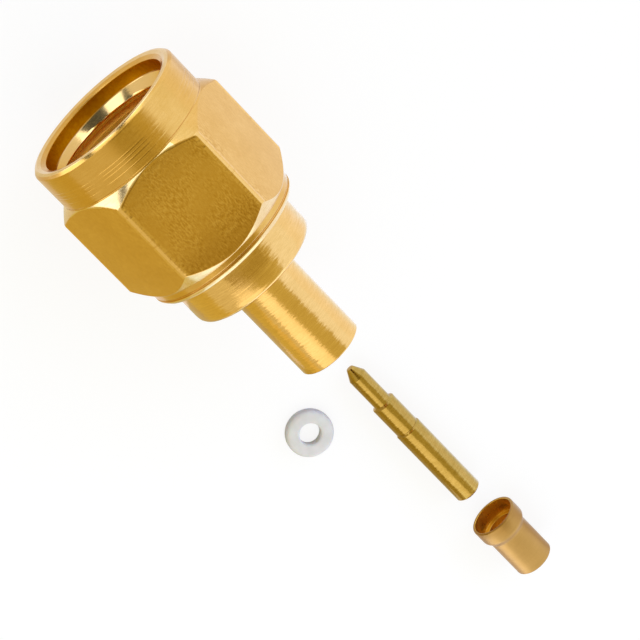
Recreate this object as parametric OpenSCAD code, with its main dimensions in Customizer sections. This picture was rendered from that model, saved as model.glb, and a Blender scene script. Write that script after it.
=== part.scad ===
// SMA plug for thin coaxial cable: the coupled body, and its three loose assembly pieces
// laid out behind it. The plug lies on one flat of its nut, mating end towards -Y.
// The origin is on the plug's axis, in the plane where the two outer conductors meet.

/* [Coupling nut] */
// Width across the flats of the hexagon
nut_af = 8; // [7.9:0.05:8.4]
// How much is turned off the hexagon's corners, on the diameter
corner_trim = 0.068; // [0.04:0.002:0.2]
// Overall length
nut_l = 8.13; // [7.95:0.01:8.6]
// How far the nut stands in front of the reference plane
nut_reach = 2.75; // [2.5:0.05:3]
// How much thinner than the flats the round sleeve in front of the hexagon is
sleeve_under = 0.03; // [0:0.01:0.3]
// Chamfer on the sleeve's front edge
lip_chamfer = 0.27; // [0.1:0.01:0.3]
// From the nut's front to where the hexagon's front chamfer rises from the sleeve
hex_start = 2.05; // [1.8:0.05:2.4]
// Length of the round collar behind the hexagon
collar_l = 0.58; // [0.5:0.01:0.8]
// Length of the front chamfer for each millimetre that it rises
front_slope = 0.9; // [0.6:0.05:1.2]
// Length of the rear chamfer for each millimetre that it falls
rear_slope = 1.2; // [0.8:0.05:1.5]
// How much thinner than the flats the collar is
collar_under = 0.07; // [0:0.01:0.3]
// Radius on the collar's rear edge
collar_round = 0.1; // [0.05:0.01:0.15]
// Depth of the turned grooves round the sleeve and the collar
groove_depth = 0.05; // [0.03:0.01:0.08]
// Width of the turned grooves
groove_w = 0.08; // [0.05:0.01:0.12]
// From the nut's front to the middle of the groove in the sleeve
sleeve_groove_at = 0.62; // [0.5:0.01:1]
// From the nut's rear end to the middle of the groove in the collar
collar_groove_in = 0.21; // [0.18:0.01:0.3]

/* [Nut bore] */
// Wall from the flats in to the bore that turns on the barrel
nut_wall = 0.7; // [0.66:0.01:0.8]
// How far the crests of the 1/4-36 UNS thread stand in from that bore
thread_rise = 0.44; // [0.4:0.01:0.5]
// How far the smooth mouth lies outside the thread's crests
mouth_rise = 0.47; // [0.36:0.01:0.52]
// Depth of the smooth mouth
mouth_l = 0.8; // [0.5:0.05:1]
// Length of the lead-in chamfer between mouth and thread
lead_in_l = 0.4; // [0.25:0.05:0.6]

/* [Retaining ring] */
// Diameter of the ring's wire
wire_d = 0.5; // [0.4:0.02:0.56]
// How far the wire's middle lies under the barrel's surface
ring_depth = 0.014; // [-0.03:0.002:0.05]
// Angle left open between the ring's ends
ring_gap = 40; // [20:5:60]
// From the nut's rear end forward to the middle of the ring
ring_inset = 1.28; // [1.1:0.02:1.4]
// How far the ring and nut float each way along the body
ring_float = 0.15; // [0.1:0.01:0.2]
// Clearance at each side of the ring in the nut
ring_side_gap = 0.04; // [0.02:0.01:0.08]
// Clearance under the ring in the body's groove
ring_under_gap = 0.05; // [0.03:0.01:0.1]
// Clearance round the ring in the nut's groove
ring_over_gap = 0.13; // [0.08:0.01:0.16]

/* [Connector body] */
// Wall of the outer conductor, 4.59 mm outside
conductor_wall = 0.235; // [0.2:0.005:0.26]
// Radial running clearance between barrel and nut
nut_clearance = 0.046; // [0.02:0.002:0.1]
// How far the barrel shows behind the nut
barrel_show = 2.02; // [1.5:0.02:2.6]
// Radius on the barrel's rear edge
barrel_round = 0.3; // [0.1:0.02:0.4]
// Chamfer on the barrel's front edge
barrel_chamfer = 0.12; // [0.05:0.01:0.2]
// Outer diameter of the crimp stem
stem_d = 3.24; // [3.1:0.02:3.5]
// Length of the crimp stem
stem_l = 5.18; // [4.5:0.02:6]
// Chamfer on the stem's two rear edges
stem_chamfer = 0.06; // [0.03:0.01:0.1]
// Radial clearance of the ferrule's flange in the bore that takes it and the cable's jacket
seat_clearance = 0.12; // [0.05:0.01:0.15]

/* [Front insulator] */
// From the insulator's rear end back to the barrel's
insulator_inset = 1.9; // [1.7:0.05:2.2]
// Radial clearance of the insulator in the body
insulator_clearance = 0.01; // [0.005:0.005:0.03]
// Radial clearance of the centre contact in the insulator
contact_clearance = 0.01; // [0.005:0.005:0.03]

/* [Gasket] */
// Thickness of the sealing ring along the axis
gasket_t = 0.7; // [0.5:0.05:0.8]
// Wall of the sealing ring
gasket_wall = 0.56; // [0.4:0.02:0.6]
// From the middle of the retaining ring forward to the sealing ring's seat
seat_setback = 1.2; // [1:0.05:1.4]
// How far the sealing ring's outer edge lies under the barrel's surface
gasket_inset = 0.204; // [0.16:0.004:0.3]
// How far the land that carries the sealing ring stands up from the outer conductor
land_rise = 0.175; // [0.16:0.005:0.25]
// Clearance of the sealing ring on its land
gasket_clearance = 0.02; // [0.01:0.01:0.05]
// Axial clearance between the sealing ring and the nut's relief, with the nut pushed back
relief_gap = 0.1; // [0.05:0.01:0.2]

/* [Centre contact] */
// Diameter of the mating pin
pin_d = 0.92; // [0.9:0.01:0.94]
// Length of the mating pin, tip included
pin_l = 2.35; // [2.1:0.05:2.5]
// Diameter of the flat at the pin's tip
tip_flat_d = 0.36; // [0.2:0.02:0.5]
// Length of the pin's tapered tip
tip_l = 0.55; // [0.4:0.05:0.8]
// Diameter of the middle step
step_d = 1.222; // [1.2:0.002:1.25]
// Length of the middle step
step_l = 1.8; // [1.5:0.05:2]
// Diameter of the solder barrel
contact_d = 1.33; // [1.28:0.01:1.4]
// Length of the solder barrel
contact_l = 4.65; // [4:0.05:5]
// Chamfer on the contact's shoulders and rear end
contact_chamfer = 0.09; // [0.04:0.01:0.1]
// Diameter of the hole for the cable's conductor
wire_hole_d = 0.56; // [0.52:0.02:0.7]
// Depth of the hole for the cable's conductor
wire_hole_l = 2.6; // [2:0.1:3]

/* [Insulator washer] */
// Outer diameter of the washer
washer_d = 2.3; // [2.2:0.02:2.36]
// Hole of the washer
washer_hole_d = 1.05; // [0.9:0.05:1.15]
// Thickness of the washer
washer_t = 0.55; // [0.4:0.05:0.7]

/* [Cable ferrule] */
// Outer diameter of the flange
flange_d = 2.36; // [2.3:0.02:2.44]
// Length of the flange
flange_l = 0.85; // [0.7:0.05:1]
// Length of the slope behind the flange
flange_slope_l = 0.16; // [0.1:0.02:0.24]
// Bore of the flange
flange_bore_d = 2.1; // [2:0.02:2.16]
// Depth of the flange's bore
flange_bore_l = 0.8; // [0.5:0.05:0.8]
// Outer diameter of the sleeve that goes under the braid
ferrule_d = 2; // [1.9:0.02:2.06]
// Bore of the sleeve, over the cable's dielectric
ferrule_bore_d = 1.62; // [1.56:0.02:1.7]
// Overall length
ferrule_l = 3.3; // [3:0.05:3.8]
// Chamfer on the rear edge
ferrule_chamfer = 0.05; // [0.02:0.01:0.08]

/* [Layout] */
// From the stem's end back to the tip of the loose contact
contact_setback = 2.7; // [1.5:0.1:5]
// From the loose contact back to the front of the loose ferrule
ferrule_setback = 1.5; // [0.8:0.1:4]
// From the stem's end back to the middle of the loose washer
washer_setback = 3.8; // [2:0.1:6]
// From the plug's axis sideways to the middle of the loose washer
washer_side = 3.45; // [2.5:0.05:6]

/* [Hidden] */
$fn = 96;
past = 0.1; // how far a cutter runs past the face that it opens

floor_z = -nut_af / 2;

// stations along the axis, behind the reference plane
nut_front = -nut_reach;
nut_rear = nut_front + nut_l;
ring_at = nut_rear - ring_inset;
gasket_seat = ring_at - seat_setback;
gasket_front = gasket_seat - gasket_t;
barrel_end = nut_rear + barrel_show;
insulator_l = barrel_end - insulator_inset;
stem_end = barrel_end + stem_l;

// diameters, from the hexagon inwards
corner_d = nut_af / cos(30) - corner_trim;
sleeve_d = nut_af - sleeve_under;
collar_d = nut_af - collar_under;
hex_end = nut_l - collar_l;
nut_bore_d = nut_af - 2 * nut_wall;
thread_bore_d = nut_bore_d - 2 * thread_rise;
mouth_d = thread_bore_d + 2 * mouth_rise;
barrel_d = nut_bore_d - 2 * nut_clearance;
ring_pitch_d = barrel_d - 2 * ring_depth;
gasket_d = barrel_d - 2 * gasket_inset;
land_d = gasket_d - 2 * gasket_wall - 2 * gasket_clearance;
outer_conductor_d = land_d - 2 * land_rise;
dielectric_d = outer_conductor_d - 2 * conductor_wall;
cable_bore_d = flange_d + 2 * seat_clearance;

// fits
body_groove_d = ring_pitch_d - wire_d - 2 * ring_under_gap;
body_groove_w = wire_d + 2 * ring_float + 0.02;
nut_groove_d = ring_pitch_d + wire_d + 2 * ring_over_gap;
nut_groove_w = wire_d + 2 * ring_side_gap;
relief_from = gasket_front - ring_float - relief_gap;
thread_end = relief_from - thread_rise;

// the loose contact lies on its solder barrel, and the loose ferrule on its flange and rear edge
contact_tip = stem_end + contact_setback;
contact_total = pin_l + step_l + contact_l;
ferrule_front = contact_tip + contact_total + ferrule_setback;
ferrule_tilt = atan((flange_d - ferrule_d) / 2 / (ferrule_l - ferrule_chamfer - flange_l));

gold = [0.86, 0.66, 0.30];
ptfe = [0.90, 0.90, 0.88];

// a piece drawn along +Z from its front, laid along +Y with that front at the station y
module along_axis(y) {
    translate([0, y, 0]) rotate([-90, 0, 0]) children();
}

// a round bore from z0 to z1
module bore(d, z0, z1) {
    translate([0, 0, z0]) cylinder(d = d, h = z1 - z0);
}

// a tapered bore from z0 to z1
module taper(d0, d1, z0, z1) {
    translate([0, 0, z0]) cylinder(d1 = d0, d2 = d1, h = z1 - z0);
}

// a shallow groove of square section round a turned surface of diameter d
module turned_groove(d, at, depth, w) {
    rotate_extrude()
        translate([d / 2 - depth, at - w / 2]) square([depth + past, w]);
}

// half section of a turned disc with a rounded rear edge
module rounded_half(d, length, edge) {
    square([d / 2 - edge, length]);
    square([d / 2, length - edge]);
    translate([d / 2 - edge, length - edge]) circle(r = edge);
}

module nut_outside() {
    collar_rise = (corner_d - collar_d) / 2;
    sleeve_rise = (corner_d - sleeve_d) / 2;
    // sleeve
    rotate_extrude()
        polygon([[0, 0], [sleeve_d / 2 - lip_chamfer, 0], [sleeve_d / 2, lip_chamfer],
                 [sleeve_d / 2, hex_start + past], [0, hex_start + past]]);
    // hexagon with turned chamfers
    intersection() {
        translate([0, 0, hex_start])
            cylinder(d = nut_af / cos(30), h = hex_end - hex_start, $fn = 6);
        rotate_extrude()
            polygon([[0, hex_start], [sleeve_d / 2, hex_start],
                     [corner_d / 2, hex_start + sleeve_rise * front_slope],
                     [corner_d / 2, hex_end - collar_rise * rear_slope],
                     [collar_d / 2, hex_end], [0, hex_end]]);
    }
    // collar
    rotate_extrude()
        intersection() {
            rounded_half(collar_d, nut_l, collar_round);
            translate([0, hex_end - past]) square([collar_d, nut_l]);
        }
}

module coupling_nut() {
    thread_from = mouth_l + lead_in_l;
    color(gold) along_axis(nut_front) difference() {
        nut_outside();
        bore(mouth_d, -past, mouth_l);
        taper(mouth_d, thread_bore_d, mouth_l, thread_from);
        bore(thread_bore_d, thread_from, thread_end + nut_reach);
        taper(thread_bore_d, nut_bore_d, thread_end + nut_reach, relief_from + nut_reach);
        bore(nut_bore_d, relief_from + nut_reach, nut_l + past);
        bore(nut_groove_d, ring_at + nut_reach - nut_groove_w / 2,
             ring_at + nut_reach + nut_groove_w / 2);
        turned_groove(sleeve_d, sleeve_groove_at, groove_depth, groove_w);
        turned_groove(collar_d, nut_l - collar_groove_in, groove_depth, groove_w);
    }
}

module retaining_ring() {
    color("goldenrod") along_axis(ring_at)
        rotate([0, 0, ring_gap / 2]) rotate_extrude(angle = 360 - ring_gap)
            translate([ring_pitch_d / 2, 0]) circle(d = wire_d);
}

module body_half_section() {
    // outer conductor, and behind it the land for the gasket
    square([outer_conductor_d / 2, gasket_front]);
    translate([0, gasket_front - gasket_clearance])
        square([land_d / 2, gasket_t + gasket_clearance + past]);
    // barrel, chamfered in front and rounded behind
    intersection() {
        rounded_half(barrel_d, barrel_end, barrel_round);
        polygon([[0, gasket_seat], [barrel_d / 2 - barrel_chamfer, gasket_seat],
                 [barrel_d / 2, gasket_seat + barrel_chamfer],
                 [barrel_d / 2, barrel_end], [0, barrel_end]]);
    }
    // crimp stem
    polygon([[0, barrel_end - past], [stem_d / 2, barrel_end - past],
             [stem_d / 2, stem_end - stem_chamfer],
             [stem_d / 2 - stem_chamfer, stem_end], [0, stem_end]]);
}

module connector_body() {
    color(gold) along_axis(0) difference() {
        rotate_extrude() body_half_section();
        bore(dielectric_d, -past, insulator_l);
        bore(cable_bore_d, insulator_l - past, stem_end + past);
        taper(cable_bore_d, cable_bore_d + 2 * stem_chamfer, stem_end - stem_chamfer, stem_end);
        rotate_extrude()
            translate([body_groove_d / 2, ring_at - body_groove_w / 2])
                square([barrel_d / 2, body_groove_w]);
    }
}

module front_insulator() {
    color(ptfe) along_axis(0) difference() {
        cylinder(d = dielectric_d - 2 * insulator_clearance, h = insulator_l);
        bore(step_d + 2 * contact_clearance, -past, step_l);
        bore(contact_d + 2 * contact_clearance, step_l, insulator_l + past);
    }
}

module gasket() {
    color("orangered") along_axis(gasket_front) difference() {
        cylinder(d = gasket_d, h = gasket_t);
        bore(land_d + 2 * gasket_clearance, -past, gasket_t + past);
    }
}

module contact_half_section() {
    shoulder = pin_l + step_l;
    rear = contact_total;
    polygon([[0, 0], [tip_flat_d / 2, 0], [pin_d / 2, tip_l], [pin_d / 2, pin_l],
             [step_d / 2 - contact_chamfer, pin_l], [step_d / 2, pin_l + contact_chamfer],
             [step_d / 2, shoulder],
             [contact_d / 2, shoulder + contact_chamfer],
             [contact_d / 2, rear - contact_chamfer],
             [contact_d / 2 - contact_chamfer, rear], [0, rear]]);
}

module centre_contact() {
    color(gold) translate([0, 0, floor_z + contact_d / 2]) along_axis(contact_tip)
        difference() {
            rotate_extrude() contact_half_section();
            bore(wire_hole_d, contact_total - wire_hole_l, contact_total + past);
        }
}

module insulator_washer() {
    color(ptfe) translate([washer_side, stem_end + washer_setback, floor_z]) difference() {
        cylinder(d = washer_d, h = washer_t);
        bore(washer_hole_d, -past, washer_t + past);
    }
}

module ferrule_half_section() {
    polygon([[0, 0], [flange_d / 2, 0], [flange_d / 2, flange_l],
             [ferrule_d / 2, flange_l + flange_slope_l],
             [ferrule_d / 2, ferrule_l - ferrule_chamfer],
             [ferrule_d / 2 - ferrule_chamfer, ferrule_l], [0, ferrule_l]]);
}

module cable_ferrule() {
    axis_height = flange_l * sin(ferrule_tilt) + flange_d / 2 * cos(ferrule_tilt);
    color(gold) translate([0, ferrule_front, floor_z + axis_height])
        rotate([-90 - ferrule_tilt, 0, 0]) difference() {
            rotate_extrude() ferrule_half_section();
            bore(flange_bore_d, -past, flange_bore_l);
            bore(ferrule_bore_d, flange_bore_l - past, ferrule_l + past);
        }
}

coupling_nut();
retaining_ring();
connector_body();
front_insulator();
gasket();
centre_contact();
insulator_washer();
cable_ferrule();
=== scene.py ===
import math

import bmesh
import bpy
from mathutils import Matrix, Vector


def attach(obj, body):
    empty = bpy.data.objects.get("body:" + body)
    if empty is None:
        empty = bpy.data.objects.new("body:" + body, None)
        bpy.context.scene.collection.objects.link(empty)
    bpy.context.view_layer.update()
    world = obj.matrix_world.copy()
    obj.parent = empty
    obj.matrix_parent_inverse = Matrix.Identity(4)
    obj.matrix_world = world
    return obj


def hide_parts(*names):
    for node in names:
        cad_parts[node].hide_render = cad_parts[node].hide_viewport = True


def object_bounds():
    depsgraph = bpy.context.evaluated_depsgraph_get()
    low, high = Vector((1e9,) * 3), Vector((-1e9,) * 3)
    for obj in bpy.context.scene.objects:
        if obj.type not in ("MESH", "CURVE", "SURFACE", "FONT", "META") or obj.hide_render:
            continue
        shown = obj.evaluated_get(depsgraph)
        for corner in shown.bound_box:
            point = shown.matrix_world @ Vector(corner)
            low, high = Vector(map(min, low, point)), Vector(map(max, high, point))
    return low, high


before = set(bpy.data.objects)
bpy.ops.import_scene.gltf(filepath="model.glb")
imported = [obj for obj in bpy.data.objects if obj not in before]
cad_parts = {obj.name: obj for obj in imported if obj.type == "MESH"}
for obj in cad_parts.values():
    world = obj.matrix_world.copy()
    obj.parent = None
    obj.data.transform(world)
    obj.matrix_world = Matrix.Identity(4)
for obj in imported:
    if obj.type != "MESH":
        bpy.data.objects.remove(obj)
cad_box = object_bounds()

# ==================================================================================
# Camera: a long lens almost straight above the plug's front, turned so that the
# mating end points to the upper left.
# ==================================================================================
camera = bpy.data.objects.new("camera", bpy.data.cameras.new("camera"))
camera.data.lens = 163.8
camera.data.sensor_width = 36
camera.data.clip_start = 0.01
camera_place = (-0.000568, -0.03559, 0.12198)
camera_tilt, camera_roll = math.radians(21.01), math.radians(135.97)
camera.matrix_world = (Matrix.Translation(camera_place)
                       @ Matrix.Rotation(camera_tilt, 4, "X")
                       @ Matrix.Rotation(camera_roll, 4, "Z"))
bpy.context.scene.collection.objects.link(camera)
bpy.context.scene.camera = camera
bpy.context.scene.view_settings.view_transform = "Standard"


# ==================================================================================
# Table: the white sheet that the pieces lie on. It is paper white to the eye and in
# the metal, and the pieces' soft shadows stay on it.
# ==================================================================================
class Wire:
    """The output of a node. Sums and products of wires add Math nodes to their tree."""

    def __init__(self, net, socket):
        self.net, self.socket = net, socket

    def maths(self, operation, *values):
        return self.net.node("ShaderNodeMath", {"operation": operation}, dict(enumerate(values)))

    def __add__(self, other): return self.maths("ADD", self, other)
    def __radd__(self, other): return self.maths("ADD", other, self)
    def __sub__(self, other): return self.maths("SUBTRACT", self, other)
    def __rsub__(self, other): return self.maths("SUBTRACT", other, self)
    def __mul__(self, other): return self.maths("MULTIPLY", self, other)
    def __rmul__(self, other): return self.maths("MULTIPLY", other, self)
    def __truediv__(self, other): return self.maths("DIVIDE", self, other)
    def __neg__(self): return self.maths("MULTIPLY", self, -1.0)
    def __abs__(self): return self.maths("ABSOLUTE", self)
    def __mod__(self, other): return self.maths("FLOORED_MODULO", self, other)
    def at_least(self, other): return self.maths("MAXIMUM", self, other)
    def at_most(self, other): return self.maths("MINIMUM", self, other)

    def rise(self, low, high):
        """0 below low, 1 above high, and smooth between them."""
        return self.net.node("ShaderNodeMapRange", {"interpolation_type": "SMOOTHSTEP"},
                             {"Value": self, "From Min": low, "From Max": high})

    def tint(self, first, second):
        """The first colour where this wire is 0, and the second where it is 1."""
        return self.net.node("ShaderNodeMix", {"data_type": "RGBA"},
                             {0: self, 6: first, 7: second}, out=2)


class Net:
    """A tree of nodes while it is being wired."""

    def __init__(self, tree):
        self.tree = tree

    def node(self, kind, settings=(), inputs=(), out=0):
        made = self.tree.nodes.new(kind)
        for name, value in dict(settings).items():
            setattr(made, name, value)
        for name, value in dict(inputs).items():
            if isinstance(value, Wire):
                self.tree.links.new(value.socket, made.inputs[name])
            else:
                made.inputs[name].default_value = value
        return Wire(self, made.outputs[out])


def finish_of(name, wiring, **constants):
    """A material with these constant values, and what wiring(net) returns on its other sockets."""
    material = bpy.data.materials.new(name)
    material.use_nodes = True
    surface = material.node_tree.nodes["Principled BSDF"]
    for socket, value in constants.items():
        surface.inputs[socket.replace("_", " ").title().replace("Ior", "IOR")].default_value = value
    for socket, wire in wiring(Net(material.node_tree)).items():
        material.node_tree.links.new(wire.socket, surface.inputs[socket])
    return material


table_z = cad_box[0].z
table_reach = 1.5
table_glow = 0.84
paper_white = (0.188, 0.186, 0.205, 1)


def white_sheet(net):
    seen = [net.node("ShaderNodeLightPath", out=ray)
            for ray in ("Is Camera Ray", "Is Glossy Ray", "Is Transmission Ray")]
    looked_at = (seen[0] + seen[1] + seen[2]).at_most(1.0)
    return {"Emission Color": looked_at.tint((0, 0, 0, 1), (table_glow,) * 3 + (1,))}


table_mesh = bpy.data.meshes.new("table")
table_mesh.from_pydata([(-table_reach, -table_reach, table_z), (table_reach, -table_reach, table_z),
                        (table_reach, table_reach, table_z), (-table_reach, table_reach, table_z)],
                       [], [(0, 1, 2, 3)])
table_mesh.materials.append(finish_of("white_sheet", white_sheet, base_color=paper_white, roughness=1.0,
                                      specular_ior_level=0.0, emission_strength=1.0))
table = bpy.data.objects.new("table", table_mesh)
bpy.context.scene.collection.objects.link(table)

# ==================================================================================
# Light: a white tent, bright on the -X side and at both ends, under a dim warm roof,
# with a soft lamp over the loose pieces. Cards that only the metal's gloss shows stand
# or lie about the pieces. Two dark ones are gaps in the bright front wall.
# ==================================================================================
tent = bpy.data.worlds.new("tent")
tent.use_nodes = True
bpy.context.scene.world = tent
net = Net(tent.node_tree)
toward = net.node("ShaderNodeTexCoord", out="Generated")
split = net.node("ShaderNodeSeparateXYZ", inputs={0: toward})
side, ahead, up = (Wire(net, split.socket.node.outputs[axis]) for axis in "XYZ")

# Degrees from straight up, towards the -X side.
lean = split.maths("ARCTAN2", -side, up) * (180 / math.pi)
roof = lean.rise(-32, -8)
dark_strip = (1.0 - abs(lean).rise(12, 24)) * ahead.rise(-0.82, -0.68) * (1.0 - ahead.rise(0.04, 0.22))
lit_side = lean.rise(34, 46)
end_wall = abs(ahead).rise(0.80, 0.94) * (1.0 - dark_strip) * (1.0 - up.rise(0.16, 0.30))
below = 1.0 - up.rise(0.0, 0.06)
tent_light = roof.tint((0.90, 0.91, 0.73, 1), (0.745, 0.705, 0.32, 1))
tent_light = dark_strip.tint(tent_light, (0.36, 0.31, 0.10, 1))
tent_light = lit_side.tint(tent_light, (1.21, 1.41, 2.00, 1))
tent_light = end_wall.tint(tent_light, (1.50, 1.76, 2.45, 1))
tent_light = below.tint(tent_light, (1, 1, 1, 1))
tent.node_tree.links.new(tent_light.socket, tent.node_tree.nodes["Background"].inputs["Color"])

overhead = bpy.data.lights.new("overhead", "AREA")
overhead.shape = "ELLIPSE"
overhead.size, overhead.size_y = 0.043, 0.036
overhead_level = 0.66
overhead.energy = overhead_level * math.pi * overhead.size * overhead.size_y
overhead.color = (0.87, 0.95, 1.32)
overhead_lamp = bpy.data.objects.new("overhead", overhead)
overhead_lamp.matrix_world = (Matrix.Translation((0.0223, 0.0412, 0.029))
                              @ Matrix.Rotation(math.radians(33), 4, "Y")
                              @ Matrix.Rotation(math.radians(-21), 4, "X"))
bpy.context.scene.collection.objects.link(overhead_lamp)


def card(name, colour, corners):
    """A glowing flat card, its corners in mm, which only gloss shows: the camera, shadows and diffuse
    light miss it."""
    glow = finish_of(name, lambda net: {}, base_color=(0, 0, 0, 1), specular_ior_level=0.0,
                     emission_color=(*colour, 1), emission_strength=1.0)
    mesh = bpy.data.meshes.new(name)
    mesh.from_pydata([(x / 1000, y / 1000, max(z / 1000, table_z)) for x, y, z in corners],
                     [], [range(len(corners))])
    mesh.materials.append(glow)
    made = bpy.data.objects.new(name, mesh)
    bpy.context.scene.collection.objects.link(made)
    made.visible_camera = made.visible_shadow = made.visible_diffuse = False


def upright(start, end, low, high):
    """The corners of a card that stands between two points of the table, from one height to another."""
    return [(*start, low), (*end, low), (*end, high), (*start, high)]


def level(height, *outline):
    """The corners of a card that lies or hangs level, with this outline as seen from above."""
    return [(x, y, height) for x, y in outline]


foot, just_over_table = -4, -3.98
roof_height = 30
front_wall_y, front_gap_y = -12, -11.9
front_wall_top = 7.5
card("bright_card", (1.21, 1.34, 1.75), upright((-8.5, -15), (-8.5, 34), foot, 3))
card("dim_card", (0.78, 0.71, 0.24), upright((8.5, -5), (8.5, 18.6), foot, 3))
card("stem_card", (0.98, 0.86, 0.36), upright((8.4, 12.3), (8.4, 18.6), 0.7, 3))
card("low_dim_card", (0.62, 0.53, 0.14), upright((4.9, 14), (4.9, 27.5), foot, -0.6))
# shaded_sheet and nut_shade below are dim sheets lying on the table where the pieces shade it: painted shade
# that only the metal's gloss shows.
card("shaded_sheet", (0.66, 0.60, 0.34),
     level(just_over_table, (0.9, 8), (8.5, 8), (8.5, 14), (4.9, 14), (4.9, 24.5), (0.9, 24.5)))
card("bright_sheet", (1.30, 1.75, 2.40), level(just_over_table, (5.0, 17.5), (26, 17.5), (26, 40), (5.0, 40)))
card("near_sheet", (1.15, 1.35, 1.70), level(just_over_table, (-8.5, 6), (-0.9, 6), (-0.9, 28), (-8.5, 28)))
card("ferrule_card", (2.65, 3.25, 4.80), upright((4.5, 27.6), (4.5, 37), foot, 0))
card("nut_shade", (0.86, 0.80, 0.58), level(just_over_table, (4.4, -9), (8.5, -9), (8.5, 6), (4.4, 6)))
card("roof_card", (0.46, 0.38, 0.10),
     level(roof_height, (-17, 14.2), (26, 14.2), (26, 20.5), (5.5, 18.7), (-17, 18.7)))
card("front_card", (2.30, 2.60, 3.40),
     upright((-6, front_wall_y), (40, front_wall_y), foot, front_wall_top))
card("front_side_card", (1.25, 1.50, 2.20),
     upright((-40, front_wall_y), (-6, front_wall_y), foot, front_wall_top))
card("rear_card", (1.60, 1.95, 2.70), upright((-20, 32), (12, 32), foot, 7))
card("front_gap_a", (0.12, 0.14, 0.15),
     [(2.7, front_gap_y, foot), (4.9, front_gap_y, foot),
      (9.9, front_gap_y, front_wall_top), (6.9, front_gap_y, front_wall_top)])
card("front_gap_b", (0.09, 0.10, 0.11),
     [(-2.8, front_gap_y, foot), (0.7, front_gap_y, foot),
      (0.3, front_gap_y, front_wall_top), (-1.7, front_gap_y, front_wall_top)])

# ==================================================================================
# Coupling nut: a hexagon bar turned down to a sleeve in front and a collar behind,
# its corners and both ends of its flats chamfered on the lathe. Gold over brass, with
# turned lines on the round parts and the grain of the bar on the flats.
# ==================================================================================
MM = 0.001
nut_front = -2.75
nut_length = 8.13
across_flats = 8.0
corner_turned_off = 0.042
corner_r = across_flats / 2 / math.cos(math.radians(30)) - corner_turned_off
sleeve_r = across_flats / 2 - 0.015
collar_r = across_flats / 2 - 0.035
hex_from, hex_to = 2.05, 7.55
front_slope, rear_slope = 0.9, 1.2
mouth_r, mouth_depth = 3.33, 0.8
lead_in_depth = 0.4
nut_bore_r = 3.3
ring_station = 4.1
ring_room_r, ring_room_w = 3.62, 0.58
relief_from = 1.95


def eased(points, steps=3):
    """Turns each corner of a closed outline of (station, radius, edge radius) to its edge radius."""
    outline = []
    for i, (z, r, edge) in enumerate(points):
        corner = Vector((z, r))
        before = Vector(points[i - 1][:2]) - corner
        after = Vector(points[(i + 1) % len(points)][:2]) - corner
        if edge == 0 or min(before.length, after.length) < 1e-9:
            outline += [corner] * (1 if edge == 0 else steps + 1)
            continue
        half_turn = max((math.pi - before.angle(after)) / 2, 1e-3)
        reach = min(edge * math.tan(half_turn), 0.45 * before.length, 0.45 * after.length)
        a, b = corner + before.normalized() * reach, corner + after.normalized() * reach
        for k in range(steps + 1):
            t = k / steps
            outline.append(a * (1 - t) ** 2 + corner * (2 * t * (1 - t)) + b * t ** 2)
    return outline


def lay_along_y(front, z=0.0):
    """Puts a turned piece along the plug's axis, its front at that station."""
    return lambda x, y, along: (x * MM, (front + along) * MM, (z - y) * MM)


def lofted(name, outlines, place, sharp=50):
    """A closed ring of outlines, one for each angle, as a smooth mesh whose faces point outwards."""
    shell = bmesh.new()
    count = len(outlines)
    rings = []
    for i, outline in enumerate(outlines):
        a = outline[0]
        rings.append([shell.verts.new(place(r * math.cos(a), r * math.sin(a), z)) for z, r in outline[1]])
    for i in range(count):
        near, far = rings[i], rings[(i + 1) % count]
        for j in range(len(near)):
            k = (j + 1) % len(near)
            shell.faces.new((near[j], near[k], far[k], far[j]))
    bmesh.ops.remove_doubles(shell, verts=shell.verts, dist=2e-7)
    bmesh.ops.dissolve_degenerate(shell, dist=1e-7, edges=shell.edges)
    bmesh.ops.recalc_face_normals(shell, faces=shell.faces)
    mesh = bpy.data.meshes.new(name)
    shell.to_mesh(mesh)
    shell.free()
    mesh.shade_smooth()
    mesh.set_sharp_from_angle(angle=math.radians(sharp))
    made = bpy.data.objects.new(name, mesh)
    bpy.context.scene.collection.objects.link(made)
    return made


def turned(name, points, place, segments=120, steps=3, sharp=50):
    """A piece from the lathe: the outline runs round its wall and closes on itself."""
    outline = [tuple(p) for p in eased(points, steps)]
    return lofted(name, [(2 * math.pi * i / segments, outline) for i in range(segments)], place, sharp)


def hex_r(angle):
    """How far out the bar reaches at that angle: its flat, or its turned corner with softened edges."""
    off = (math.degrees(angle) + 30) % 60 - 30
    flat_r = across_flats / 2
    flat = flat_r / math.cos(math.radians(30 - abs(off)))
    soft = 0.006
    blend = math.exp(-(flat - flat_r) / soft) + math.exp(-(corner_r - flat_r) / soft)
    return -soft * math.log(blend) + flat_r


def nut_outline(angle):
    """Once round the nut's wall at that angle, from the rim of the mouth."""
    r = max(hex_r(angle), sleeve_r + 0.004)
    front_edge = hex_from + (r - sleeve_r) * front_slope
    rear_edge = hex_to - (r - collar_r) * rear_slope
    ring_room_from = ring_station - nut_front - ring_room_w / 2
    ring_room_to = ring_station - nut_front + ring_room_w / 2
    groove_r = collar_r - 0.06
    return eased([
        (0.20, mouth_r, 0.04), (0.06, mouth_r + 0.22, 0.1), (0, mouth_r + 0.38, 0.06),
        (0.04, sleeve_r - 0.13, 0.06), (0.18, sleeve_r, 0.08),
        (hex_from, sleeve_r, 0.03), (front_edge, r, 0.2), (rear_edge, r, 0.08), (hex_to, collar_r, 0.03),
        (7.79, collar_r, 0.05), (7.85, groove_r, 0.015), (7.89, groove_r, 0.015), (7.91, collar_r, 0.015),
        (7.96, collar_r, 0.06), (nut_length, collar_r - 0.12, 0.05), (nut_length, nut_bore_r, 0.04),
        (ring_room_to, nut_bore_r, 0.02), (ring_room_to, ring_room_r, 0.02),
        (ring_room_from, ring_room_r, 0.02), (ring_room_from, nut_bore_r, 0.02),
        (mouth_depth + 0.02, nut_bore_r, 0.0), (mouth_depth - 0.01, mouth_r, 0.0)])


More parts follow.
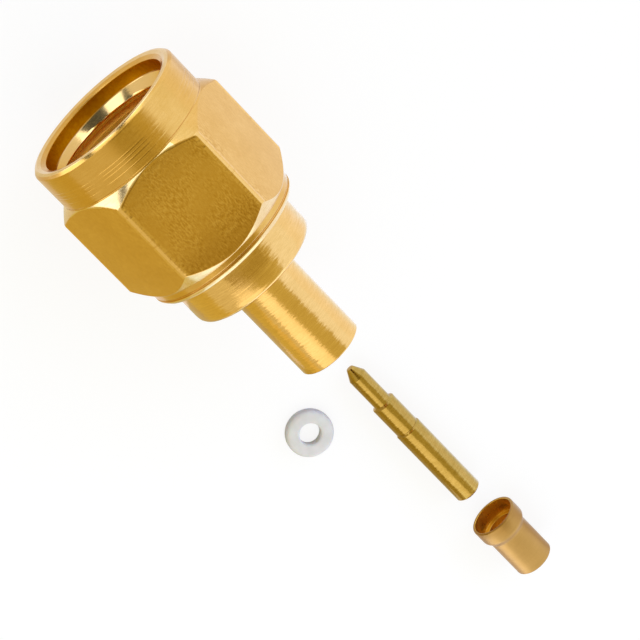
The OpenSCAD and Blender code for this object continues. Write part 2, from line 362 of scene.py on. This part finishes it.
steps_to_corner = [0, 3, 6, 9, 12, 15, 18, 21, 24, 26.5, 28, 28.8, 29.15, 29.4, 29.7]
nut_angles = [math.radians(60 * side + 30 + sign * step)
              for side in range(6) for sign in (1, -1) for step in steps_to_corner if sign == 1 or step]
nut_angles += [math.radians(60 * side) for side in range(6)]
nut_angles = sorted(a % (2 * math.pi) for a in nut_angles)
coupling_nut = lofted("nut_shell", [(a, [tuple(p) for p in nut_outline(a)]) for a in nut_angles],
                      lay_along_y(nut_front), sharp=60)


def gold_wiring(axis_from, axis_to, tones, rough=0.18, lines=1.0, strokes=0.08, grain=0.3, flats=None,
                corner=None, marks=()):
    """Wires gold plate over turned metal. Lathe lines and strokes run round the axis between two points
    in mm. Tones are its middle, darkest and lightest gold. Between the stations in flats the surface is
    milled instead, and out at the corner radius its corners get beads of bump and beads painted
    lighter, a painted highlight. The grain is coarse only more than 3 mm up, on the nut's top flat.
    Marks are (station, half width, depth) of single tool marks."""
    start, axis = Vector(axis_from), (Vector(axis_to) - Vector(axis_from)).normalized()

    def wiring(net):
        def vector(operation, *values, out=0):
            return net.node("ShaderNodeVectorMath", {"operation": operation}, dict(enumerate(values)), out)

        def noise(scale, detail=3.0, rough=0.6, **where):
            return net.node("ShaderNodeTexNoise", {"noise_dimensions": "1D" if "W" in where else "3D"},
                            {"Scale": scale, "Detail": detail, "Roughness": rough, **where})

        here = vector("MULTIPLY", net.node("ShaderNodeTexCoord", out="Object"), (1000.0,) * 3)
        from_start = vector("SUBTRACT", here, start)
        station = vector("DOT_PRODUCT", from_start, axis, out="Value")
        facing = net.node("ShaderNodeNewGeometry", out="Normal")
        turned_part = 1.0
        if flats:
            first_flat, last_flat = flats
            milled = (station.rise(first_flat - 0.05, first_flat + 0.05)
                      * (1.0 - station.rise(last_flat - 0.05, last_flat + 0.05)))
            along_axis = abs(vector("DOT_PRODUCT", facing, axis, out="Value"))
            turned_part = 1.0 - milled * (1.0 - along_axis.rise(0.1, 0.3))
        fine = noise(11.0, rough=0.75, W=station)
        broad = noise(4.2, detail=2.0, W=station + 17.0)
        drawn_out = vector("MULTIPLY", here, tuple(1.0 - 0.70 * abs(a) for a in axis))
        stretched = vector("ADD", drawn_out, (3.0, 5.0, 7.0))
        speck = noise(15.0, detail=2.0, rough=0.6, Vector=stretched)
        streak = noise(14.0, detail=2.0, rough=0.7,
                       Vector=vector("MULTIPLY", here, tuple(0.17 + 0.83 * abs(a) for a in axis)))
        patch = noise(0.7, detail=1.0, Vector=vector("ADD", here, (9.0, 0.0, 0.0)))
        on_top = net.node("ShaderNodeSeparateXYZ", inputs={0: here}, out="Z").rise(3.0, 3.95)
        worn = on_top * patch.rise(0.35, 0.6) + 0.3
        grit = (speck - 0.5) * (1.3 - turned_part) * worn
        cloud = noise(0.8, detail=2.0, Vector=here)
        shade = (((fine - 0.5) * 0.5 + (streak - 0.5) * 0.9) * (lines * turned_part)
                 + grit * (4.4 * grain) + (cloud - 0.5) * 0.7)
        height = (fine * lines + broad * (2.0 * lines)) * turned_part + grit * (7.0 * grain)
        # On the turned corners: beads of bump, and beads painted lighter as a painted highlight.
        if corner:
            off_axis = vector("LENGTH", vector("CROSS_PRODUCT", from_start, axis), out="Value")
            beads = noise(4.5, detail=2.0, W=station + 40.0)
            corner_glint_strip = off_axis.rise(corner - 0.09, corner - 0.03)
            shade = shade + corner_glint_strip * (beads - 0.25) * 5.0
            height = height + corner_glint_strip * beads * 14.0
        light = (0.5 + shade).at_least(0.0).at_most(1.0)
        colour = (light * 2.0).at_most(1.0).tint(tones[1], tones[0])
        colour = (light * 2.0 - 1.0).at_least(0.0).tint(colour, tones[2])
        for mark_at, half_width, depth in marks:
            height = height - (1.0 - abs(station - mark_at).rise(0.0, half_width)) * depth
        around = vector("CROSS_PRODUCT", facing, axis)
        sway = ((broad - 0.5) * (0.6 * strokes) + (fine - 0.5) * (1.3 * strokes)
                + (streak - 0.5) * (3.4 * strokes)) * turned_part
        swayed = net.node("ShaderNodeVectorMath", {"operation": "SCALE"}, {0: around, "Scale": sway})
        swayed = vector("NORMALIZE", vector("ADD", facing, swayed))
        bump = net.node("ShaderNodeBump", inputs={"Height": height, "Distance": 1.2e-6, "Normal": swayed})
        return {"Base Color": colour, "Normal": bump,
                "Roughness": rough + (speck - 0.5) * 0.14 + (broad - 0.5) * 0.06}

    return wiring


plug_axis = ((0, 0, 0), (0, 1, 0))
nut_tones = [(0.66, 0.355, 0.072, 1), (0.58, 0.295, 0.045, 1), (0.75, 0.43, 0.110, 1)]
# The rim tones are a paler gold than the nut's: a painted highlight for the edges that catch light.
rim_highlight_tones = [(0.75, 0.50, 0.20, 1), (0.65, 0.40, 0.13, 1), (0.83, 0.59, 0.28, 1)]
tool_marks = [(-1.72, 0.05, 9.0), (-1.55, 0.035, 7.0), (-1.38, 0.05, 9.0), (-1.12, 0.04, 8.0),
              (-0.76, 0.045, 14.0)]
nut_gold = finish_of("nut_gold",
                     gold_wiring(*plug_axis, nut_tones, rough=0.2, grain=0.55, lines=0.6, strokes=0.03,
                                 marks=tool_marks, corner=corner_r,
                                 flats=(hex_from + nut_front + 0.1, hex_to + nut_front - 0.1)),
                     metallic=1.0)
rim_highlight_gold = finish_of("rim_highlight_gold", gold_wiring(*plug_axis, rim_highlight_tones, rough=0.20, grain=0.5, strokes=0.02),
                     metallic=1.0)


def bore_wiring(net):
    """Wires the gold inside the nut: the mouth's wall painted dark red-brown as painted shade, orange gold
    on the thread, and a polished paler gold on the lead-in cone as a painted highlight.
    """
    here = net.node("ShaderNodeVectorMath", {"operation": "SCALE"},
                    {0: net.node("ShaderNodeTexCoord", out="Object"), "Scale": 1000.0})
    station = net.node("ShaderNodeSeparateXYZ", inputs={0: here}, out="Y")
    cone_from, cone_to = nut_front + mouth_depth, nut_front + mouth_depth + lead_in_depth
    blur = 0.03
    behind = station.rise(cone_to - blur, cone_to + blur)
    cone = station.rise(cone_from - blur, cone_from + blur) * (1.0 - behind)
    mottle = net.node("ShaderNodeTexNoise",
                      inputs={"Vector": here, "Scale": 5.0, "Detail": 3.0, "Roughness": 0.6})
    turned_lines = net.node("ShaderNodeTexNoise", {"noise_dimensions": "1D"}, {"W": station, "Scale": 16.0})
    # The mouth's wall is painted a very dark red-brown: painted shade in the bore.
    wall = mottle.rise(0.3, 0.7).tint((0.32, 0.10, 0.0005, 1), (0.38, 0.135, 0.001, 1))
    wall = behind.tint(wall, (0.80, 0.42, 0.05, 1))
    bump = net.node("ShaderNodeBump", inputs={"Height": turned_lines + mottle * 0.6, "Distance": 0.6e-6})
    # The lead-in cone's paler gold is a painted highlight.
    return {"Base Color": cone.tint(wall, (0.74, 0.475, 0.165, 1)), "Normal": bump,
            "Roughness": 0.40 - cone * 0.31 + mottle * 0.06}


bore_gold = finish_of("bore_gold", bore_wiring, metallic=1.0, specular_tint=(0.9, 0.55, 0.1, 1))
for gold in (nut_gold, bore_gold, rim_highlight_gold):
    coupling_nut.data.materials.append(gold)
# Faces take their finish here. The bore's faces get the bore gold. The front lip, rear rim, rear chamfer,
# collar's groove edge and part of the front chamfer get the paler rim gold, a painted highlight where these
# edges catch light.
lip_to, rear_rim_from = 0.1, 7.93
front_chamfer_to, rear_chamfer_from, chamfer_lean = 3.2, 6.7, 0.4
groove_edge_from, groove_edge_to, groove_lean = 7.76, 7.86, 0.15
# Only the front chamfer's faces beyond this x get the paler gold: a painted highlight on that side alone.
highlight_side_from = -0.0012
for face in coupling_nut.data.polygons:
    off_axis = math.hypot(face.center.x, face.center.z) / MM
    behind_front, lean_back = face.center.y / MM - nut_front, face.normal.y
    in_bore = off_axis < mouth_r + 0.02 and behind_front < nut_length - 0.02
    on_rim = behind_front < lip_to or behind_front > rear_rim_from
    on_front_chamfer = (hex_from < behind_front < front_chamfer_to and lean_back < -chamfer_lean
                        and face.center.x > highlight_side_from)
    on_rear_chamfer = rear_chamfer_from < behind_front < hex_to and lean_back > chamfer_lean
    on_groove_edge = groove_edge_from < behind_front < groove_edge_to and lean_back > groove_lean
    if in_bore:
        face.material_index = 1
    elif on_rim or on_front_chamfer or on_rear_chamfer or on_groove_edge:
        face.material_index = 2
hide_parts("coupling_nut")
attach(coupling_nut, "nut")

# ----------------------------------------------------------------------------------
# The nut's thread: 1/4 inch, 36 turns to the inch, cut right-handed between the
# lead-in cone and the relief. One skewed sheet of mesh whose rows follow the helix.
# ----------------------------------------------------------------------------------
lead_in_drop = 0.47
thread_tree = bpy.data.node_groups.new("cut_thread", "GeometryNodeTree")
thread_sizes = {"Pitch": 25.4 / 36, "Crest radius": 2.86, "Depth": 0.315,
                "Lead-in from": mouth_depth, "Lead-in radius": mouth_r,
                "Lead-in slope": lead_in_drop / lead_in_depth,
                "Relief from": relief_from - nut_front, "Relief radius": nut_bore_r,
                "Skirt": 0.06, "Front": nut_front}
thread_tree.interface.new_socket("Geometry", in_out="OUTPUT", socket_type="NodeSocketGeometry")
thread_sockets = {}
for label, value in thread_sizes.items():
    socket = thread_tree.interface.new_socket(label, in_out="INPUT", socket_type="NodeSocketFloat")
    socket.default_value = 0.0
    thread_sockets[label] = socket.identifier
finish_socket = thread_tree.interface.new_socket("Finish", in_out="INPUT", socket_type="NodeSocketMaterial")

net = Net(thread_tree)
given = thread_tree.nodes.new("NodeGroupInput")
size = {label: Wire(net, given.outputs[label]) for label in thread_sizes}
around, rows = 96, 110
rows_a_turn, crest_rows, flank_rows = 16.0, 5.0, 4.0
sheet = net.node("GeometryNodeMeshGrid", inputs={"Size X": float(around), "Size Y": float(rows),
                                                 "Vertices X": around + 1, "Vertices Y": rows + 1})
spot = net.node("GeometryNodeInputPosition")
turn = net.node("ShaderNodeSeparateXYZ", inputs={0: spot}, out="X") + around / 2
row = net.node("ShaderNodeSeparateXYZ", inputs={0: spot}, out="Y") + rows / 2
row_height = size["Pitch"] / rows_a_turn
wall_r = size["Lead-in radius"] + size["Skirt"]
first = size["Lead-in from"] - size["Skirt"] / size["Lead-in slope"]
last = size["Relief from"] + size["Skirt"]
climb = size["Pitch"] * (turn / float(around))
along = (first - size["Pitch"] + row * row_height + climb).at_least(first).at_most(last)
in_turn = row % rows_a_turn
cut = (in_turn - crest_rows).at_most(rows_a_turn - in_turn) / flank_rows
cut = cut.at_least(0.0).at_most(1.0)
thread_r = size["Crest radius"] + cut * size["Depth"]
lead_in_r = size["Lead-in radius"] - (along - size["Lead-in from"]) * size["Lead-in slope"]
relief_r = size["Relief radius"] + (along - size["Relief from"])
inner_r = thread_r.at_least(lead_in_r).at_least(relief_r).at_most(wall_r)
closing = row.maths("GREATER_THAN", row, rows - 0.5)
along = along + (first - along) * closing
inner_r = inner_r + (wall_r - inner_r) * closing
angle = turn * (2 * math.pi / around)
placed = net.node("ShaderNodeCombineXYZ", inputs={
    "X": inner_r * angle.maths("COSINE", angle) * MM,
    "Y": (along + size["Front"]) * MM,
    "Z": inner_r * angle.maths("SINE", angle) * -MM})
bent = net.node("GeometryNodeSetPosition", inputs={"Geometry": sheet, "Position": placed})
joined = net.node("GeometryNodeMergeByDistance", inputs={"Geometry": bent, "Distance": 1e-6})
real = net.node("GeometryNodeRealizeInstances", inputs={"Geometry": joined})
finished = net.node("GeometryNodeSetMaterial", inputs={"Geometry": real,
                                                       "Material": Wire(net, given.outputs["Finish"])})
thread_tree.links.new(finished.socket, thread_tree.nodes.new("NodeGroupOutput").inputs[0])


def grown(name, tree, values, sharp=30):
    """Runs a Geometry Nodes tree with these inputs and keeps a plain mesh, its faces pointing outwards."""
    seed = bpy.data.objects.new(name + "_seed", bpy.data.meshes.new(name + "_seed"))
    bpy.context.scene.collection.objects.link(seed)
    modifier = seed.modifiers.new("grow", "NODES")
    modifier.node_group = tree
    for identifier, value in values.items():
        modifier[identifier] = value
    bpy.context.view_layer.update()
    grown_mesh = bpy.data.meshes.new_from_object(seed.evaluated_get(bpy.context.evaluated_depsgraph_get()))
    seed.modifiers.remove(modifier)
    bpy.data.objects.remove(seed)
    shell = bmesh.new()
    shell.from_mesh(grown_mesh)
    bmesh.ops.dissolve_degenerate(shell, dist=1e-8, edges=shell.edges)
    bmesh.ops.recalc_face_normals(shell, faces=shell.faces)
    shell.to_mesh(grown_mesh)
    shell.free()
    grown_mesh.name = name
    grown_mesh.shade_smooth()
    grown_mesh.set_sharp_from_angle(angle=math.radians(sharp))
    made = bpy.data.objects.new(name, grown_mesh)
    bpy.context.scene.collection.objects.link(made)
    return made


nut_thread = grown("nut_thread", thread_tree,
                   {**{thread_sockets[label]: value for label, value in thread_sizes.items()},
                    finish_socket.identifier: bore_gold})
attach(nut_thread, "nut")

# ==================================================================================
# Retaining ring: spring wire bent to an open ring. It lies half in the body's groove
# and half in the nut's, and keeps the nut on.
# ==================================================================================
ring_tree = bpy.data.node_groups.new("bent_ring", "GeometryNodeTree")
ring_sizes = {"Wire radius": 0.25, "Pitch radius": 3.24, "Open angle": math.radians(40),
              "Station": ring_station}
ring_tree.interface.new_socket("Geometry", in_out="OUTPUT", socket_type="NodeSocketGeometry")
ring_sockets = {}
for label, value in ring_sizes.items():
    socket = ring_tree.interface.new_socket(label, in_out="INPUT", socket_type="NodeSocketFloat")
    ring_sockets[label] = socket.identifier
ring_finish = ring_tree.interface.new_socket("Finish", in_out="INPUT", socket_type="NodeSocketMaterial")
net = Net(ring_tree)
given = ring_tree.nodes.new("NodeGroupInput")
size = {label: Wire(net, given.outputs[label]) for label in ring_sizes}
arc = net.node("GeometryNodeCurveArc", inputs={"Resolution": 97, "Radius": size["Pitch radius"] * MM,
                                               "Start Angle": size["Open angle"] / 2.0,
                                               "Sweep Angle": 2 * math.pi - size["Open angle"]})
wire_section = net.node("GeometryNodeCurvePrimitiveCircle", inputs={"Resolution": 20,
                                                                    "Radius": size["Wire radius"] * MM})
ring_mesh = net.node("GeometryNodeCurveToMesh", inputs={"Curve": arc, "Profile Curve": wire_section,
                                                        "Fill Caps": True})
stood = net.node("GeometryNodeTransform", inputs={
    "Geometry": ring_mesh, "Rotation": (-math.pi / 2, 0, 0),
    "Translation": net.node("ShaderNodeCombineXYZ", inputs={"Y": size["Station"] * MM})})
real = net.node("GeometryNodeRealizeInstances", inputs={"Geometry": stood})
finished = net.node("GeometryNodeSetMaterial", inputs={"Geometry": real,
                                                       "Material": Wire(net, given.outputs["Finish"])})
ring_tree.links.new(finished.socket, ring_tree.nodes.new("NodeGroupOutput").inputs[0])


def spring_wiring(net):
    where = net.node("ShaderNodeTexCoord", out="Object")
    here = net.node("ShaderNodeVectorMath", {"operation": "SCALE"}, {0: where, "Scale": 1000.0})
    drawn = net.node("ShaderNodeTexNoise", inputs={"Vector": here, "Scale": 8.0, "Detail": 3.0})
    bump = net.node("ShaderNodeBump", inputs={"Height": drawn, "Strength": 0.6, "Distance": 1e-6})
    return {"Base Color": drawn.rise(0.3, 0.7).tint((0.52, 0.30, 0.05, 1), (0.62, 0.40, 0.09, 1)),
            "Roughness": 0.22 + drawn * 0.12, "Normal": bump}


spring_gold = finish_of("spring_wire", spring_wiring, metallic=1.0)
retaining_ring = grown("retaining_ring_wire", ring_tree,
                       {**{ring_sockets[label]: value for label, value in ring_sizes.items()},
                        ring_finish.identifier: spring_gold}, sharp=40)
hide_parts("retaining_ring")
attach(retaining_ring, "ring")

# ==================================================================================
# Connector body: outer conductor, sealing land, barrel and crimp stem, turned from
# one brass rod and gold plated. The nut turns on the barrel's front.
# ==================================================================================
body_points = [
    (0, 2.06, 0.03), (0, 2.295, 0.06), (2.18, 2.295, 0.0), (2.18, 2.47, 0.02), (2.9, 2.47, 0.0),
    (2.9, 3.134, 0.03), (3.02, 3.254, 0.03),
    (3.69, 3.254, 0.02), (3.69, 2.94, 0.02), (4.51, 2.94, 0.02), (4.51, 3.254, 0.02),
    (7.40, 3.254, 0.36), (7.40, 1.62, 0.05),
    (12.52, 1.62, 0.03), (12.58, 1.56, 0.02), (12.58, 1.36, 0.02), (12.52, 1.30, 0.02),
    (5.5, 1.30, 0.03), (5.5, 2.06, 0.0)]
connector_body = turned("body_shell", body_points, lay_along_y(0), segments=144, steps=4)
body_tones = [(0.74, 0.43, 0.12, 1), (0.66, 0.37, 0.09, 1), (0.82, 0.49, 0.15, 1)]
body_gold = finish_of("body_gold",
                      gold_wiring(*plug_axis, body_tones, rough=0.18, lines=1.2, strokes=0.075, grain=0.1),
                      metallic=1.0)
connector_body.data.materials.append(body_gold)
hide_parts("connector_body")
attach(connector_body, "plug_body")

# ==================================================================================
# Front insulator: the white dielectric pressed into the outer conductor, with the
# stepped bore that the centre contact will be pushed into.
# ==================================================================================
insulator_points = [(0, 0.621, 0.03), (0, 2.05, 0.05), (5.5, 2.05, 0.05), (5.5, 0.675, 0.03),
                    (1.8, 0.675, 0.01), (1.8, 0.621, 0.01)]
front_insulator = turned("dielectric", insulator_points, lay_along_y(0), segments=96)


def ptfe_wiring(white, shade):
    def wiring(net):
        where = net.node("ShaderNodeTexCoord", out="Object")
        here = net.node("ShaderNodeVectorMath", {"operation": "SCALE"}, {0: where, "Scale": 1000.0})
        cloud = net.node("ShaderNodeTexNoise", inputs={"Vector": here, "Scale": 2.2, "Detail": 3.0})
        skin = net.node("ShaderNodeTexNoise", inputs={"Vector": here, "Scale": 14.0, "Detail": 4.0})
        bump = net.node("ShaderNodeBump", inputs={"Height": skin, "Strength": 0.5, "Distance": 2e-6})
        return {"Base Color": cloud.rise(0.25, 0.75).tint(shade, white),
                "Roughness": 0.42 + skin * 0.16, "Normal": bump}
    return wiring


front_insulator.data.materials.append(
    finish_of("dielectric_ptfe", ptfe_wiring((0.86, 0.86, 0.85, 1), (0.80, 0.80, 0.79, 1)),
              subsurface_weight=0.15, subsurface_scale=0.0004))
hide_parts("front_insulator")
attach(front_insulator, "plug_body")

# ==================================================================================
# Gasket: the silicone ring on the land in front of the barrel, which seals against
# the face of the jack.
# ==================================================================================
gasket_front = 2.2
gasket_points = [(0, 2.49, 0.12), (0, 3.05, 0.16), (0.7, 3.05, 0.16), (0.7, 2.49, 0.12)]
gasket = turned("sealing_ring", gasket_points, lay_along_y(gasket_front), segments=96, steps=4, sharp=80)


def silicone_wiring(net):
    where = net.node("ShaderNodeTexCoord", out="Object")
    here = net.node("ShaderNodeVectorMath", {"operation": "SCALE"}, {0: where, "Scale": 1000.0})
    bloom = net.node("ShaderNodeTexNoise", inputs={"Vector": here, "Scale": 3.0, "Detail": 4.0})
    bump = net.node("ShaderNodeBump", inputs={"Height": bloom, "Strength": 0.4, "Distance": 3e-6})
    return {"Base Color": bloom.rise(0.3, 0.7).tint((0.42, 0.06, 0.02, 1), (0.52, 0.09, 0.03, 1)),
            "Roughness": 0.5 + bloom * 0.2, "Normal": bump}


gasket.data.materials.append(finish_of("silicone", silicone_wiring))
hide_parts("gasket")
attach(gasket, "plug_body")

# ==================================================================================
# Centre contact: the loose pin, turned from brass and gold plated, with a tapered tip,
# two shoulders, and a hole in its rear end for the cable's conductor.
# ==================================================================================
contact_front, contact_height = 15.28, -3.335
contact_points = [
    (0, 0.0, 0.0), (0, 0.18, 0.04), (0.55, 0.46, 0.12), (2.36, 0.46, 0.01), (2.435, 0.611, 0.02),
    (4.12, 0.611, 0.02), (4.15, 0.59, 0.01), (4.19, 0.59, 0.01), (4.24, 0.665, 0.03),
    (8.71, 0.665, 0.03), (8.80, 0.575, 0.02), (8.80, 0.28, 0.02), (6.2, 0.28, 0.02), (6.05, 0.0, 0.0)]
centre_contact = turned("contact_pin", contact_points, lay_along_y(contact_front, z=contact_height),
                        segments=72, steps=4)
contact_tones = [(0.44, 0.26, 0.050, 1), (0.36, 0.21, 0.035, 1), (0.54, 0.33, 0.080, 1)]
contact_gold = finish_of("contact_gold",
                         gold_wiring((0, 0, contact_height), (0, 1, contact_height), contact_tones,
                                     rough=0.18, lines=1.2, strokes=0.05, grain=2.2),
                         metallic=1.0)
centre_contact.data.materials.append(contact_gold)
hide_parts("centre_contact")
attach(centre_contact, "plug_body")

# ==================================================================================
# Insulator washer: the loose disc of white PTFE, punched from sheet, that goes between
# the contact and the ferrule.
# ==================================================================================
washer_x, washer_y, washer_foot = 0.00345, 0.01638, -0.004
washer_points = [(0, 0.525, 0.05), (0, 1.15, 0.12), (0.55, 1.15, 0.2), (0.55, 0.525, 0.12)]
insulator_washer = turned("loose_washer", washer_points,
                          lambda x, y, up: (x * MM + washer_x, y * MM + washer_y, up * MM + washer_foot),
                          segments=96, steps=5, sharp=80)
insulator_washer.data.materials.append(
    finish_of("washer_ptfe", ptfe_wiring((0.81, 0.795, 0.86, 1), (0.74, 0.725, 0.785, 1)),
              subsurface_weight=0.2, subsurface_scale=0.0003))
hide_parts("insulator_washer")
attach(insulator_washer, "plug_body")

# ==================================================================================
# Cable ferrule: the loose thin tube that goes under the cable's braid. Its flange
# holds it up a little in front, so it lies tilted on the table.
# ==================================================================================
flange_r, tube_r, tube_bore_r = 1.18, 1.0, 0.81
ferrule_length, flange_length, rear_bevel = 3.3, 0.85, 0.05
ferrule_front, table_height = 25.58, -4
ferrule_tilt = math.atan((flange_r - tube_r) / (ferrule_length - rear_bevel - flange_length))
ferrule_height = table_height + flange_length * math.sin(ferrule_tilt) + flange_r * math.cos(ferrule_tilt)


def lay_ferrule(x, y, along):
    """Puts the ferrule on its flange and its rear edge."""
    return (x * MM,
            (ferrule_front - y * math.sin(ferrule_tilt) + along * math.cos(ferrule_tilt)) * MM,
            (ferrule_height - y * math.cos(ferrule_tilt) - along * math.sin(ferrule_tilt)) * MM)


ferrule_points = [
    (0, 1.05, 0.04), (0, flange_r, 0.06), (0.79, flange_r, 0.30), (1.08, tube_r, 0.30),
    (3.25, tube_r, 0.03), (ferrule_length, 0.95, 0.02), (ferrule_length, tube_bore_r, 0.02),
    (0.80, tube_bore_r, 0.03), (0.80, 1.05, 0.02)]
cable_ferrule = turned("ferrule_tube", ferrule_points, lay_ferrule, segments=96, steps=4)
ferrule_start = (0, ferrule_front, ferrule_height)
ferrule_end = (0, ferrule_front + math.cos(ferrule_tilt), ferrule_height - math.sin(ferrule_tilt))
# The outside's gold is written far darker than the inside's: painted shade, which the bright cards beside the
# ferrule light up again.
outer_tones = [(0.36, 0.179, 0.038, 1), (0.31, 0.152, 0.031, 1), (0.42, 0.213, 0.049, 1)]
inner_tones = [(0.72, 0.43, 0.07, 1), (0.64, 0.36, 0.05, 1), (0.80, 0.52, 0.11, 1)]
ferrule_gold = finish_of("ferrule_gold",
                         gold_wiring(ferrule_start, ferrule_end, outer_tones,
                                     rough=0.40, lines=0.5, strokes=0.02, grain=1.2),
                         metallic=1.0)
tube_gold = finish_of("tube_gold",
                      gold_wiring(ferrule_start, ferrule_end, inner_tones,
                                  rough=0.30, lines=0.6, strokes=0.03, grain=0.1),
                      metallic=1.0)
cable_ferrule.data.materials.append(ferrule_gold)
cable_ferrule.data.materials.append(tube_gold)
tube_axis = (Vector(ferrule_end) - Vector(ferrule_start)).normalized()
facing_in = -0.2
step_from, step_to, step_r = 0.1, 3.2, 1.04
for face in cable_ferrule.data.polygons:
    from_front = face.center / MM - Vector(ferrule_start)
    station = from_front.dot(tube_axis)
    off_axis = from_front - tube_axis * station
    faces_in = off_axis.dot(face.normal) < facing_in
    on_inner_step = (step_from < station < step_to and off_axis.length < step_r
                     and abs(face.normal.dot(tube_axis)) > 0.9)
    face.material_index = int(faces_in or on_inner_step)
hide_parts("cable_ferrule")
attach(cable_ferrule, "plug_body")
